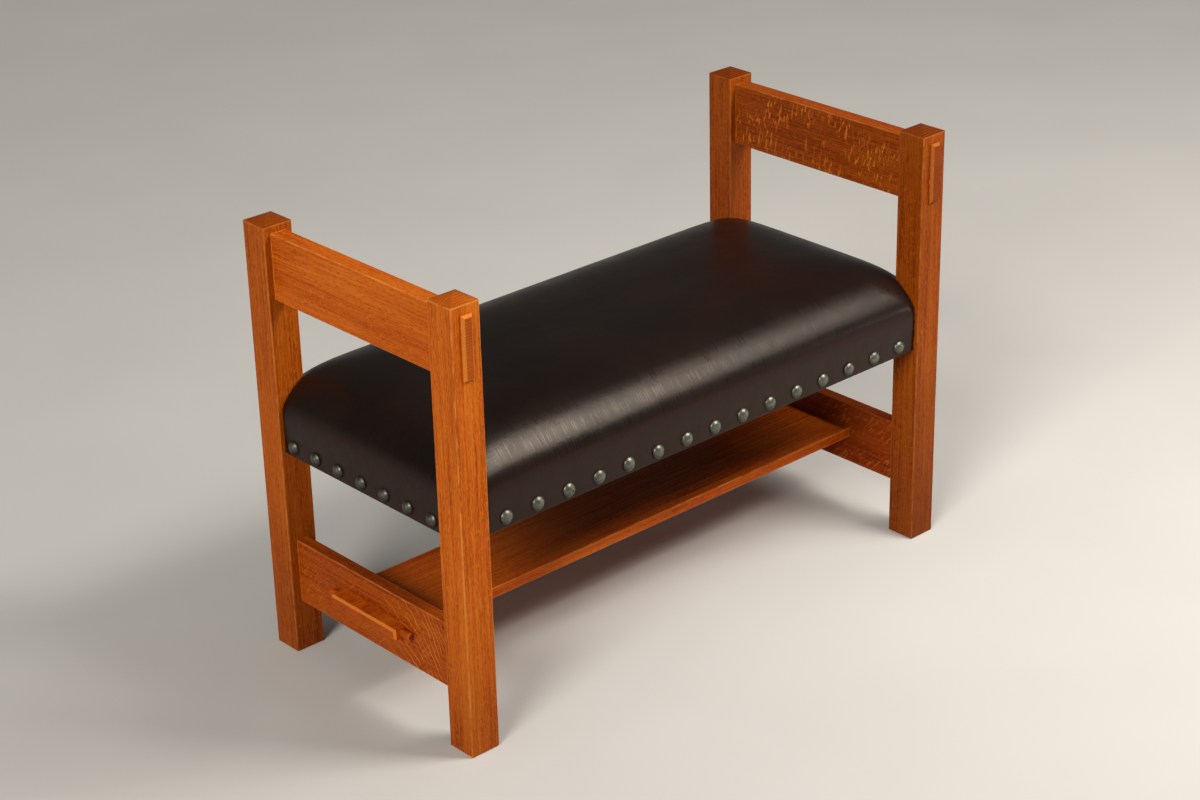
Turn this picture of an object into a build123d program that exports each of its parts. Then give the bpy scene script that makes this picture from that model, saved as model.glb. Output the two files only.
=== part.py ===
from build123d import *
import os

# A mission style window bench. Four square posts carry a crest rail and a lower rail at each end.
# A narrow shelf passes through the lower rails, and a nailed leather seat is notched round the posts.
# Millimetres. X runs along the bench, -Y is the front, +Z is up, and the origin lies on the floor
# under the middle of the bench.

# Posts
length = 914.4              # over the outer faces of the posts
depth = 433.2               # over the front and back faces of the posts
post_size = 46.4
post_rim_height = 643.0     # floor to the edge where the low pyramid begins
pyramid_rise = 8.0
post_edge_radius = 1.8
foot_chamfer = 1.5

# Crest rails, one across each end, with tenons that pass through the posts
crest_height = 95.0
crest_thickness = 25.0
crest_drop = 10.0           # from the rim of the posts down to the crest rail's top edge
crest_tenon_thickness = 18.0
crest_tenon_shoulder = 2.8
crest_tenon_proud = 5.5
crest_tenon_chamfer = 3.5

# Lower rails, one across each end
lower_rail_height = 97.0
lower_rail_thickness = 19.0
lower_rail_clearance = 78.0  # floor to the lower rail's bottom edge
lower_tenon_thickness = 10.0
lower_tenon_length = 30.0
lower_tenon_shoulder = 8.0

# Shelf, with a tenon at each end that passes through the lower rail and is locked by two pegs
shelf_width = 148.0
shelf_thickness = 16.0
shelf_top = 136.0
shelf_tenon_shoulder = 4.0
shelf_tenon_proud = 20.0
shelf_tenon_chamfer = 3.0
shelf_peg_diameter = 12.0
shelf_peg_reach = 18.0      # how far a peg stands out of the tenon's edge
shelf_peg_depth = 26.0      # how far it goes in
shelf_peg_rounding = 4.0

# Pins through the posts and the tenons of the lower rails and the seat rails
pin_diameter = 6.0
pin_inset = 9.6             # from the inner face of a post to the axis of its pin
lower_pin_length = 34.0
seat_pin_length = 30.0
seat_pin_rise = 26.7        # from the seat rails' bottom edge to the axis of their pins

# Seat frame, hidden under the leather
seat_rail_thickness = 22.0
seat_rail_height = 45.0
seat_tenon_length = 18.0
seat_tenon_thickness = 10.0
seat_tenon_shoulder = 6.0
cross_rail_width = 30.0
cross_rail_height = 34.0
cross_tenon_length = 8.0
block_leg = 52.0            # length of a corner block along each seat rail
block_flat = 14.0           # width of its square ends
block_height = 38.0
deck_thickness = 12.0
deck_margin = 4.0           # how far the deck stays inside the seat rails' outer faces
deck_post_gap = 2.5

# Leather cover, wadding, pad and dust cover
leather_thickness = 1.6
leather_setback = 6.6       # from the posts' outer faces to the leather's flat sides
leather_bottom = 313.0
leather_side_height = 55.0
crown_rise = 78.0           # from the top of the flat sides to the top of the crown
leather_turn_under = 16.0
wadding_thickness = 4.0
dust_cover_thickness = 0.6
dust_cover_margin = 8.0

# Decorative nails, dust cover tacks and screws
nail_head_diameter = 21.0
nail_head_height = 6.2
nail_shank_diameter = 2.6
nail_shank_length = 16.0
nail_height = 14.5          # from the leather's bottom edge up to the row of nails
front_nail_count = 15
front_nail_margin = 33.5    # from a post's inner face to the first nail of the front or back
end_nail_count = 7
end_nail_margin = 21.7      # from a post's inner face to the first nail of an end
tack_head_diameter = 8.0
tack_head_height = 1.0
tack_shank_diameter = 1.6
tack_shank_length = 9.0
front_tack_count = 9
front_tack_margin = 34.8    # from a post's inner face to the first tack
end_tack_count = 4
end_tack_margin = 38.2
screw_head_diameter = 8.0
screw_head_height = 2.6
screw_shank_diameter = 4.0
deck_screw_length = 34.0
block_screw_length = 30.0
block_screw_inset = 34.0    # from the post's inner face to the screw's axis
front_deck_screw_count = 4
front_deck_screw_margin = 110.8   # from a post's inner face to the first deck screw
end_deck_screw_count = 2
end_deck_screw_margin = 70.2

# Fits
board_edge_radius = 1.5
mortise_spare = 1.0         # empty depth behind a blind tenon
bore_clearance = 0.05       # round the pins, pegs, nails and screws
soft_gap = 0.3              # round the soft pieces
cut_overrun = 5.0

# The crown of the seat, as one row for each level: the level as a share of the crown's rise, how far
# the outline is drawn in as a share of the seat's half depth, and the corner radius as a share of the
# half depth that is left.
crown_shares = (
    (0.00, 0.000, 0.18),
    (0.10, 0.003, 0.21),
    (0.22, 0.013, 0.26),
    (0.34, 0.033, 0.31),
    (0.46, 0.065, 0.34),
    (0.60, 0.115, 0.38),
    (0.74, 0.190, 0.44),
    (0.86, 0.310, 0.52),
    (0.94, 0.460, 0.60),
    (0.985, 0.650, 0.68),
    (1.00, 0.830, 0.70),
)

# Places worked out from the sizes
post_x = (length - post_size) / 2
post_y = (depth - post_size) / 2
inner_x = post_x - post_size / 2
inner_y = post_y - post_size / 2
crest_top = post_rim_height - crest_drop
crest_bottom = crest_top - crest_height
lower_rail_top = lower_rail_clearance + lower_rail_height
lower_rail_middle = lower_rail_clearance + lower_rail_height / 2
shelf_bottom = shelf_top - shelf_thickness
shelf_middle = shelf_top - shelf_thickness / 2
shelf_tenon_width = shelf_width - 2 * shelf_tenon_shoulder
shelf_end_x = post_x + lower_rail_thickness / 2 + shelf_tenon_proud
shelf_peg_x = post_x + (lower_rail_thickness + shelf_peg_diameter) / 2 + bore_clearance
leather_x = length / 2 - leather_setback
leather_y = depth / 2 - leather_setback
rail_face_x = leather_x - leather_thickness - soft_gap
rail_face_y = leather_y - leather_thickness - soft_gap
seat_rail_x = rail_face_x - seat_rail_thickness / 2
seat_rail_y = rail_face_y - seat_rail_thickness / 2
rail_inside_x = rail_face_x - seat_rail_thickness
rail_inside_y = rail_face_y - seat_rail_thickness
seat_rail_bottom = leather_bottom + leather_thickness + soft_gap
seat_rail_top = seat_rail_bottom + seat_rail_height
seat_pin_height = seat_rail_bottom + seat_pin_rise
block_middle = seat_rail_top - block_height / 2
deck_top = seat_rail_top + deck_thickness
side_top = leather_bottom + leather_side_height
nail_z = leather_bottom + nail_height
SIDES = (-1, 1)
LEFT_RIGHT = {"left": -1, "right": 1}
FRONT_BACK = {"front": -1, "back": 1}


def block(x_range, y_range, z_range):
    """A box between two limits along each axis, in either order."""
    sizes = [abs(limits[1] - limits[0]) for limits in (x_range, y_range, z_range)]
    middle = [sum(limits) / 2 for limits in (x_range, y_range, z_range)]
    return Pos(*middle) * Box(*sizes)


def centred(half_x, half_y, z_range):
    """A box centred on the bench's vertical axis."""
    return block((-half_x, half_x), (-half_y, half_y), z_range)


def rod(start, direction, diameter, rod_length):
    """A round bar that starts at a point and runs along a direction."""
    plane = Plane(origin=start, z_dir=direction)
    return extrude(plane * Circle(diameter / 2), rod_length)


def row(count, half_run):
    """Evenly spaced places, from one end of a run that is centred on zero to the other."""
    return [half_run * (2 * place / (count - 1) - 1) for place in range(count)]


def group(solids):
    """Separate solids kept together as one node."""
    return Compound(children=[solid for piece in solids for solid in piece.solids()])


def eased_board(x_range, y_range, z_range, along):
    """A board whose four long edges are lightly rounded."""
    board = block(x_range, y_range, z_range)
    return fillet(board.edges().filter_by(along), board_edge_radius)


def blunt_end(piece, axis, side, size):
    """Chamfer the end face of a tenon that stands proud."""
    end = piece.faces().sort_by(axis)[-1 if side > 0 else 0]
    return chamfer(end.edges(), size)


# Posts

def gable(half, run, rim, peak):
    """A prism with the outline of a post, seen from one side, and a low pointed top."""
    outline = make_face(Polyline((-half, 0), (half, 0), (half, rim), (0, peak), (-half, rim), close=True))
    return extrude(Plane.XZ * outline, run / 2, both=True)


def post_blank():
    """A square post with a shallow pyramid on top, before its mortises are cut."""
    prism = gable(post_size / 2, post_size, post_rim_height, post_rim_height + pyramid_rise)
    post = prism & (Rot(0, 0, 90) * prism)
    post = fillet(post.edges().filter_by(Axis.Z), post_edge_radius)
    return chamfer(post.faces().sort_by(Axis.Z)[0].edges(), foot_chamfer)


def post(side_x, side_y):
    """One post, with its mortises for the rails and its holes for the pins."""
    piece = Pos(side_x * post_x, side_y * post_y) * post_blank()
    piece -= crest_tenon_bar(side_x)
    piece -= lower_tenons(side_x, mortise_spare)
    piece -= seat_tenons_long(side_y, mortise_spare)
    piece -= seat_tenons_end(side_x, mortise_spare)
    piece -= lower_pin(side_x, side_y, bore_clearance)
    piece -= seat_pin(side_x, side_y, bore_clearance)
    return piece


# Crest rails

def crest_tenon_bar(side_x):
    """The bar that runs through both posts of one end and shows as a tenon at the front and the back."""
    half_thickness = crest_tenon_thickness / 2
    half_run = depth / 2 + crest_tenon_proud
    return block(
        (side_x * post_x - half_thickness, side_x * post_x + half_thickness),
        (-half_run, half_run),
        (crest_bottom + crest_tenon_shoulder, crest_top - crest_tenon_shoulder),
    )


def crest_rail(side_x):
    """The top rail of one end, with its two through tenons."""
    half_thickness = crest_thickness / 2
    tenons = crest_tenon_bar(side_x)
    for side_y in SIDES:
        tenons = blunt_end(tenons, Axis.Y, side_y, crest_tenon_chamfer)
    rail = eased_board(
        (side_x * post_x - half_thickness, side_x * post_x + half_thickness),
        (-inner_y, inner_y),
        (crest_bottom, crest_top),
        Axis.Y,
    )
    return rail + tenons


# Lower rails

def lower_tenons(side_x, spare):
    """The blind tenons of one lower rail, as one bar, with spare depth where it cuts the mortises."""
    half_thickness = lower_tenon_thickness / 2
    half_run = inner_y + lower_tenon_length + spare
    return block(
        (side_x * post_x - half_thickness, side_x * post_x + half_thickness),
        (-half_run, half_run),
        (lower_rail_clearance + lower_tenon_shoulder, lower_rail_top - lower_tenon_shoulder),
    )


def lower_rail(side_x):
    """The bottom rail of one end, with a mortise right through it for the shelf."""
    half_thickness = lower_rail_thickness / 2
    rail = eased_board(
        (side_x * post_x - half_thickness, side_x * post_x + half_thickness),
        (-inner_y, inner_y),
        (lower_rail_clearance, lower_rail_top),
        Axis.Y,
    )
    rail += lower_tenons(side_x, 0)
    rail -= shelf_tenon_bar()
    for side_y in SIDES:
        rail -= lower_pin(side_x, side_y, bore_clearance)
    return rail


def lower_pin(side_x, side_y, clearance):
    """A pin driven in from the outer face of a post through the lower rail's tenon."""
    start = (side_x * length / 2, side_y * (inner_y + pin_inset), lower_rail_middle)
    return rod(start, (-side_x, 0, 0), pin_diameter + 2 * clearance, lower_pin_length + clearance)


# Shelf

def shelf_tenon_bar():
    """The two through tenons of the shelf, as one bar."""
    return centred(shelf_end_x, shelf_tenon_width / 2, (shelf_bottom, shelf_top))


def shelf():
    """The shelf board, with shoulders against the lower rails and a bored tenon at each end."""
    tenons = shelf_tenon_bar()
    for side_x in SIDES:
        tenons = blunt_end(tenons, Axis.X, side_x, shelf_tenon_chamfer)
    half_run = post_x - lower_rail_thickness / 2
    half_width = shelf_width / 2
    board = eased_board((-half_run, half_run), (-half_width, half_width), (shelf_bottom, shelf_top), Axis.X)
    board += tenons
    for side_x in SIDES:
        for side_y in SIDES:
            board -= shelf_peg_bore(side_x, side_y)
    return board


def shelf_peg_bore(side_x, side_y):
    """The hole in a tenon's edge that takes a locking peg."""
    bore_bottom = shelf_tenon_width / 2 - shelf_peg_depth - bore_clearance
    start = (side_x * shelf_peg_x, side_y * bore_bottom, shelf_middle)
    bore_length = shelf_peg_depth + cut_overrun
    return rod(start, (0, side_y, 0), shelf_peg_diameter + 2 * bore_clearance, bore_length)


def shelf_peg(side_x, side_y):
    """A round peg with a softened end, which lies against the outside of the lower rail."""
    start = (side_x * shelf_peg_x, side_y * (shelf_tenon_width / 2 - shelf_peg_depth), shelf_middle)
    peg = rod(start, (0, side_y, 0), shelf_peg_diameter, shelf_peg_depth + shelf_peg_reach)
    end = peg.faces().sort_by(Axis.Y)[-1 if side_y > 0 else 0]
    return fillet(end.edges(), shelf_peg_rounding)


# Seat frame

def seat_tenons_long(side_y, spare):
    """The blind tenons of the front or back seat rail, as one bar."""
    half_thickness = seat_tenon_thickness / 2
    half_run = inner_x + seat_tenon_length + spare
    return block(
        (-half_run, half_run),
        (side_y * seat_rail_y - half_thickness, side_y * seat_rail_y + half_thickness),
        (seat_rail_bottom + seat_tenon_shoulder, seat_rail_top - seat_tenon_shoulder),
    )


def seat_tenons_end(side_x, spare):
    """The blind tenons of the left or right seat rail, as one bar."""
    half_thickness = seat_tenon_thickness / 2
    half_run = inner_y + seat_tenon_length + spare
    return block(
        (side_x * seat_rail_x - half_thickness, side_x * seat_rail_x + half_thickness),
        (-half_run, half_run),
        (seat_rail_bottom + seat_tenon_shoulder, seat_rail_top - seat_tenon_shoulder),
    )


def long_rail_board(side_y):
    """The part of the front or back seat rail that lies between the posts."""
    half_thickness = seat_rail_thickness / 2
    return block(
        (-inner_x, inner_x),
        (side_y * seat_rail_y - half_thickness, side_y * seat_rail_y + half_thickness),
        (seat_rail_bottom, seat_rail_top),
    )


def end_rail_board(side_x):
    """The part of the left or right seat rail that lies between the posts."""
    half_thickness = seat_rail_thickness / 2
    return block(
        (side_x * seat_rail_x - half_thickness, side_x * seat_rail_x + half_thickness),
        (-inner_y, inner_y),
        (seat_rail_bottom, seat_rail_top),
    )


def seat_rail_long(side_y):
    """The front or back seat rail, with its tenons and the holes of everything driven into it."""
    rail = long_rail_board(side_y) + seat_tenons_long(side_y, 0)
    rail -= cross_rail_tenons(mortise_spare)
    for side_x in SIDES:
        rail -= seat_pin(side_x, side_y, bore_clearance)
        rail -= block_screw_to_long_rail(side_x, side_y, bore_clearance)
    rail -= nails_long(side_y, bore_clearance)
    rail -= tacks_long(side_y, bore_clearance)
    rail -= deck_screws(bore_clearance)
    return rail


def seat_rail_end(side_x):
    """The left or right seat rail, with its tenons and the holes of everything driven into it."""
    rail = end_rail_board(side_x) + seat_tenons_end(side_x, 0)
    for side_y in SIDES:
        rail -= block_screw_to_end_rail(side_x, side_y, bore_clearance)
    rail -= nails_end(side_x, bore_clearance)
    rail -= tacks_end(side_x, bore_clearance)
    rail -= deck_screws(bore_clearance)
    return rail


def seat_pin(side_x, side_y, clearance):
    """A pin driven in from the front or back face of a post through a seat rail's tenon."""
    start = (side_x * (inner_x + pin_inset), side_y * depth / 2, seat_pin_height)
    return rod(start, (0, -side_y, 0), pin_diameter + 2 * clearance, seat_pin_length + clearance)


def cross_rail_tenons(spare):
    """The stub tenons of the middle rail, as one bar."""
    half_width = cross_rail_width / 2 - seat_tenon_shoulder
    half_run = rail_inside_y + cross_tenon_length + spare
    bottom = seat_rail_top - cross_rail_height + seat_tenon_shoulder
    return centred(half_width, half_run, (bottom, seat_rail_top - seat_tenon_shoulder))


def seat_cross_rail():
    """The middle rail that keeps the long seat rails straight and carries the deck."""
    board = centred(cross_rail_width / 2, rail_inside_y, (seat_rail_top - cross_rail_height, seat_rail_top))
    return board + cross_rail_tenons(0)


def corner_block(side_x, side_y):
    """A glued and screwed block in one corner of the seat frame, notched round the post."""
    step_x = rail_inside_x - inner_x
    step_y = rail_inside_y - inner_y
    corners = [
        (0, step_y),
        (0, 0),
        (step_x, 0),
        (step_x, -block_leg),
        (step_x - block_flat, -block_leg),
        (-block_leg, step_y - block_flat),
        (-block_leg, step_y),
    ]
    places = [(side_x * (inner_x + across), side_y * (inner_y + back)) for across, back in corners]
    outline = make_face(Polyline(*places, close=True))
    piece = Pos(0, 0, seat_rail_top - block_height) * extrude(outline, block_height, dir=(0, 0, 1))
    piece -= block_screw_to_long_rail(side_x, side_y, bore_clearance)
    piece -= block_screw_to_end_rail(side_x, side_y, bore_clearance)
    return piece


def seat_deck():
    """The plywood deck on top of the seat frame, notched round the posts."""
    z_range = (seat_rail_top, deck_top)
    deck = centred(rail_face_x - deck_margin, rail_face_y - deck_margin, z_range)
    deck -= notches(deck_post_gap, z_range)
    return deck - deck_screws(bore_clearance)


# Soft pieces

def notches(gap, z_range):
    """Four corner boxes that clear the posts by a gap."""
    low, high = z_range
    boxes = [
        block(
            (side_x * (inner_x - gap), side_x * length),
            (side_y * (inner_y - gap), side_y * depth),
            (low - cut_overrun, high + cut_overrun),
        )
        for side_x in SIDES
        for side_y in SIDES
    ]
    return boxes[0] + boxes[1] + boxes[2] + boxes[3]


def crown_section(inset, level_share, drawn_share, corner_share):
    """One level of the crowned seat, as a rectangle with rounded corners."""
    drawn_in = drawn_share * leather_y + inset
    half_x = leather_x - drawn_in
    half_y = leather_y - drawn_in
    level = side_top + level_share * crown_rise - inset
    return Pos(0, 0, level) * RectangleRounded(2 * half_x, 2 * half_y, corner_share * half_y)


def crowned_block(inset, bottom):
    """The seat's outer form, set in by an inset, from a flat bottom up to the crown."""
    crown = loft([crown_section(inset, *shares) for shares in crown_shares])
    base_level = side_top - inset
    base = Pos(0, 0, bottom) * extrude(
        RectangleRounded(
            2 * (leather_x - inset),
            2 * (leather_y - inset),
            crown_shares[0][2] * (leather_y - inset),
        ),
        base_level - bottom,
    )
    form = base + crown
    return form - notches(soft_gap + inset, (bottom, side_top + crown_rise))


def leather_cover():
    """The leather, as one skin over the top and sides, turned under and slit round the rails."""
    skin = crowned_block(0, leather_bottom)
    skin -= crowned_block(leather_thickness, leather_bottom + leather_thickness)
    skin -= centred(
        leather_x - leather_turn_under,
        leather_y - leather_turn_under,
        (leather_bottom - cut_overrun, leather_bottom + leather_thickness + soft_gap),
    )
    skin -= centred(rail_face_x, rail_face_y, (seat_rail_bottom, seat_rail_top))
    for side_x in SIDES:
        skin -= nails_end(side_x, bore_clearance)
        skin -= tacks_end(side_x, bore_clearance)
    for side_y in SIDES:
        skin -= nails_long(side_y, bore_clearance)
        skin -= tacks_long(side_y, bore_clearance)
    return skin


def above_deck(form):
    """The part of a crowned form that lies above the deck."""
    return form & centred(length, depth, (deck_top, post_rim_height))


def seat_wadding():
    """The soft layer between the pad and the leather."""
    outside = leather_thickness + soft_gap
    inside = outside + wadding_thickness
    return above_deck(crowned_block(outside, seat_rail_top) - crowned_block(inside, leather_bottom))


def seat_pad():
    """The crowned foam pad on the deck."""
    inset = leather_thickness + wadding_thickness + 2 * soft_gap
    return above_deck(crowned_block(inset, seat_rail_top))


def dust_cover():
    """The thin cloth under the seat frame, tacked over the leather's turned edge."""
    z_range = (leather_bottom - dust_cover_thickness, leather_bottom)
    cloth = centred(leather_x - dust_cover_margin, leather_y - dust_cover_margin, z_range)
    cloth -= notches(deck_post_gap, z_range)
    for side_x in SIDES:
        cloth -= tacks_end(side_x, bore_clearance)
    for side_y in SIDES:
        cloth -= tacks_long(side_y, bore_clearance)
    return cloth


# Nails, tacks and screws

def domed_nail():
    """A nail on the Z axis with its round head above zero and its shank below."""
    radius = nail_head_diameter / 2
    shank = nail_shank_diameter / 2
    head_middle = (radius**2 - nail_head_height**2) / (2 * nail_head_height)
    ball = Pos(0, 0, -head_middle) * Sphere(head_middle + nail_head_height)
    head = ball & block((-radius, radius), (-radius, radius), (0, nail_head_height))
    return head + Pos(0, 0, -nail_shank_length / 2) * Cylinder(shank, nail_shank_length)


def driven(tool, place, outward):
    """A fastener modelled on the Z axis, moved to a surface that faces outward."""
    return Plane(origin=place, z_dir=outward).location * tool


def shank(diameter, shank_length, clearance):
    """The hole of a straight shank below zero, or the shank itself with no clearance."""
    hole_length = shank_length + clearance
    return Pos(0, 0, -hole_length / 2) * Cylinder(diameter / 2 + clearance, hole_length)


def nail_places_long(side_y):
    """Where the nails of the front or back go, and the way they face."""
    places = row(front_nail_count, inner_x - front_nail_margin)
    return [((x, side_y * leather_y, nail_z), (0, side_y, 0)) for x in places]


def nail_places_end(side_x):
    """Where the nails of one end go, and the way they face."""
    places = row(end_nail_count, inner_y - end_nail_margin)
    return [((side_x * leather_x, y, nail_z), (side_x, 0, 0)) for y in places]


def placed(tool, places):
    """Copies of a fastener at a list of places."""
    return group([driven(tool, place, outward) for place, outward in places])


def nails_long(side_y, clearance):
    """The holes of the front or back nails."""
    return placed(shank(nail_shank_diameter, nail_shank_length, clearance), nail_places_long(side_y))


def nails_end(side_x, clearance):
    """The holes of the nails at one end."""
    return placed(shank(nail_shank_diameter, nail_shank_length, clearance), nail_places_end(side_x))


def tack_places_long(side_y):
    """Where the dust cover's tacks go under the front or back rail."""
    level = leather_bottom - dust_cover_thickness
    places = row(front_tack_count, inner_x - front_tack_margin)
    return [((x, side_y * seat_rail_y, level), (0, 0, -1)) for x in places]


def tack_places_end(side_x):
    """Where the dust cover's tacks go under the rail of one end."""
    level = leather_bottom - dust_cover_thickness
    places = row(end_tack_count, inner_y - end_tack_margin)
    return [((side_x * seat_rail_x, y, level), (0, 0, -1)) for y in places]


def tacks_long(side_y, clearance):
    """The holes of the tacks under the front or back rail."""
    return placed(shank(tack_shank_diameter, tack_shank_length, clearance), tack_places_long(side_y))


def tacks_end(side_x, clearance):
    """The holes of the tacks under the rail of one end."""
    return placed(shank(tack_shank_diameter, tack_shank_length, clearance), tack_places_end(side_x))


def tack():
    """A flat headed tack on the Z axis, with its shank below zero."""
    head = Pos(0, 0, tack_head_height / 2) * Cylinder(tack_head_diameter / 2, tack_head_height)
    return head + shank(tack_shank_diameter, tack_shank_length, 0)


def dust_cover_tacks():
    """All the tacks of the dust cover."""
    places = [place for side_y in SIDES for place in tack_places_long(side_y)]
    places += [place for side_x in SIDES for place in tack_places_end(side_x)]
    return placed(tack(), places)


def screw(screw_length, clearance):
    """A flat headed screw on the Z axis, its head's top at zero, or its hole with a clearance."""
    head_depth = screw_head_height + clearance
    head = Pos(0, 0, -head_depth / 2) * Cylinder(screw_head_diameter / 2 + clearance, head_depth)
    return head + shank(screw_shank_diameter, screw_length, clearance)


def deck_screw_places():
    """Where the deck is screwed down to the seat rails."""
    places = [
        ((x, side_y * seat_rail_y, deck_top), (0, 0, 1))
        for side_y in SIDES
        for x in row(front_deck_screw_count, inner_x - front_deck_screw_margin)
    ]
    places += [
        ((side_x * seat_rail_x, y, deck_top), (0, 0, 1))
        for side_x in SIDES
        for y in row(end_deck_screw_count, inner_y - end_deck_screw_margin)
    ]
    return places


def deck_screws(clearance):
    """The screws that hold the deck, or their holes with a clearance."""
    return placed(screw(deck_screw_length, clearance), deck_screw_places())


def sunk_screw(place, outward, clearance):
    """A corner block's screw, or with a clearance its hole, open above the head."""
    tool = screw(block_screw_length, clearance)
    if clearance:
        above = Pos(0, 0, block_leg / 2) * Cylinder(screw_head_diameter / 2 + clearance, block_leg)
        tool += above
    return driven(tool, place, outward)


def block_screw_to_long_rail(side_x, side_y, clearance):
    """The screw from a corner block into the front or back rail."""
    place = (side_x * (inner_x - block_screw_inset), side_y * inner_y, block_middle)
    return sunk_screw(place, (0, -side_y, 0), clearance)


def block_screw_to_end_rail(side_x, side_y, clearance):
    """The screw from a corner block into the left or right rail."""
    place = (side_x * inner_x, side_y * (inner_y - block_screw_inset), block_middle)
    return sunk_screw(place, (-side_x, 0, 0), clearance)


# All the pieces, by name

def corners_of(piece):
    """One solid for each corner of the bench."""
    return group([piece(side_x, side_y) for side_x in SIDES for side_y in SIDES])


def make_pieces():
    """Every node of the bench."""
    pieces = {}
    for across, side_x in LEFT_RIGHT.items():
        pieces[f"crest_rail_{across}"] = crest_rail(side_x)
        pieces[f"lower_rail_{across}"] = lower_rail(side_x)
        pieces[f"shelf_pegs_{across}"] = group([shelf_peg(side_x, side_y) for side_y in SIDES])
        pieces[f"seat_rail_{across}"] = seat_rail_end(side_x)
        pieces[f"nails_{across}"] = placed(domed_nail(), nail_places_end(side_x))
        for along, side_y in FRONT_BACK.items():
            pieces[f"post_{along}_{across}"] = post(side_x, side_y)
            pieces[f"corner_block_{along}_{across}"] = corner_block(side_x, side_y)
    for along, side_y in FRONT_BACK.items():
        pieces[f"seat_rail_{along}"] = seat_rail_long(side_y)
        pieces[f"nails_{along}"] = placed(domed_nail(), nail_places_long(side_y))
    pieces["shelf"] = shelf()
    pieces["lower_rail_pins"] = corners_of(lambda side_x, side_y: lower_pin(side_x, side_y, 0))
    pieces["seat_rail_pins"] = corners_of(lambda side_x, side_y: seat_pin(side_x, side_y, 0))
    pieces["seat_cross_rail"] = seat_cross_rail()
    pieces["seat_deck"] = seat_deck()
    pieces["deck_screws"] = deck_screws(0)
    pieces["block_screws"] = group([
        corners_of(lambda side_x, side_y: block_screw_to_long_rail(side_x, side_y, 0)),
        corners_of(lambda side_x, side_y: block_screw_to_end_rail(side_x, side_y, 0)),
    ])
    pieces["seat_pad"] = seat_pad()
    pieces["seat_wadding"] = seat_wadding()
    pieces["leather_cover"] = leather_cover()
    pieces["dust_cover"] = dust_cover()
    pieces["dust_cover_tacks"] = dust_cover_tacks()
    return pieces


os.makedirs("parts", exist_ok=True)
for name, piece in make_pieces().items():
    export_step(piece, f"parts/{name}.step")
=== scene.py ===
# %% [markdown]
# # A window bench in oak and leather
#
# The bench was drawn in CAD first, so every board, pin and nail already has its true size and
# place. This lesson dresses that frame. The oak gets its grain, a leather cover is stretched over
# the padded seat, and a row of domed nails holds its edge. A CAD piece that already has the right
# shape keeps it and only gets a finish. The soft pieces are modelled again, because the CAD solid
# of a cushion is too stiff to look like one.

# %% Load the CAD frame
import bisect
import math
import random

import bmesh
import bpy
from mathutils import Matrix, Vector, noise


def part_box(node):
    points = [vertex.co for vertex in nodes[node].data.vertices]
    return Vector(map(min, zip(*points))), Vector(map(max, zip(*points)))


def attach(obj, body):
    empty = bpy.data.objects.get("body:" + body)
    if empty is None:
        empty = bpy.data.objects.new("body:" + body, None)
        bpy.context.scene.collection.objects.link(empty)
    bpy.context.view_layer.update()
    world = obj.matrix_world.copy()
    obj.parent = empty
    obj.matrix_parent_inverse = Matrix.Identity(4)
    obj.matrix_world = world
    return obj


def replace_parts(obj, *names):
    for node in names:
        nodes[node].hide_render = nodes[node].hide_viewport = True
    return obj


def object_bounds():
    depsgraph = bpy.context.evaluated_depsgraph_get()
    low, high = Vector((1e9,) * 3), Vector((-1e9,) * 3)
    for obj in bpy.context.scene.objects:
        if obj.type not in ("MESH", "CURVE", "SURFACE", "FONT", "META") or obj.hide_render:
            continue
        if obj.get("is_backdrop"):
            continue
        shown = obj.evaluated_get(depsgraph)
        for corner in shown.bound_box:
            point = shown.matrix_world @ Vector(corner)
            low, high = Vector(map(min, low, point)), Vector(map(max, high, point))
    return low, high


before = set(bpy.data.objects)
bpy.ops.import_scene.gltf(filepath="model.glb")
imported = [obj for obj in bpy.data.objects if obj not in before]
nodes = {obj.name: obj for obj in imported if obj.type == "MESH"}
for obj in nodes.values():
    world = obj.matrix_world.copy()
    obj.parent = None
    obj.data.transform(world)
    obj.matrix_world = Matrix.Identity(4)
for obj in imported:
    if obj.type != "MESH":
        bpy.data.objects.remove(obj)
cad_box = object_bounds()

MM = 0.001


def in_mm(length):
    """A length in millimetres, for print."""
    return round(length / MM, 1)


print(len(nodes), "CAD nodes, box", [tuple(round(c, 4) for c in corner) for corner in cad_box])

# %% [markdown]
# ## The camera
#
# The bench is seen from its front left corner, from above. A camera can be aimed by a target, but
# here three angles say it exactly: how far round the bench it stands, how high, and how far it
# leans. A long lens keeps the posts nearly parallel.

# %% Place the camera
CAMERA_PLACE = Vector((-2.2597, -2.4988, 1.8724))
CAMERA_AZIMUTH = math.radians(-41.835)
CAMERA_ELEVATION = math.radians(25.026)
CAMERA_LEAN = math.radians(-1.429)
CAMERA_LENS = 77.9


def add_object(name, data):
    """Puts an object that shows some data into the scene."""
    made = bpy.data.objects.new(name, data)
    bpy.context.scene.collection.objects.link(made)
    return made


backward = Vector((
    math.sin(CAMERA_AZIMUTH) * math.cos(CAMERA_ELEVATION),
    -math.cos(CAMERA_AZIMUTH) * math.cos(CAMERA_ELEVATION),
    math.sin(CAMERA_ELEVATION),
))
level = Vector((math.cos(CAMERA_AZIMUTH), math.sin(CAMERA_AZIMUTH), 0))
upright = backward.cross(level)
rightward = math.cos(CAMERA_LEAN) * level + math.sin(CAMERA_LEAN) * upright
upward = math.cos(CAMERA_LEAN) * upright - math.sin(CAMERA_LEAN) * level

camera_data = bpy.data.cameras.new("camera")
camera_data.lens = CAMERA_LENS
camera = add_object("camera", camera_data)
turned = Matrix((rightward, upward, backward)).transposed().to_4x4()
camera.matrix_world = Matrix.Translation(CAMERA_PLACE) @ turned
bpy.context.scene.camera = camera
bpy.context.scene.view_settings.view_transform = "Standard"
print("camera looks along", [round(c, 3) for c in -backward])

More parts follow.
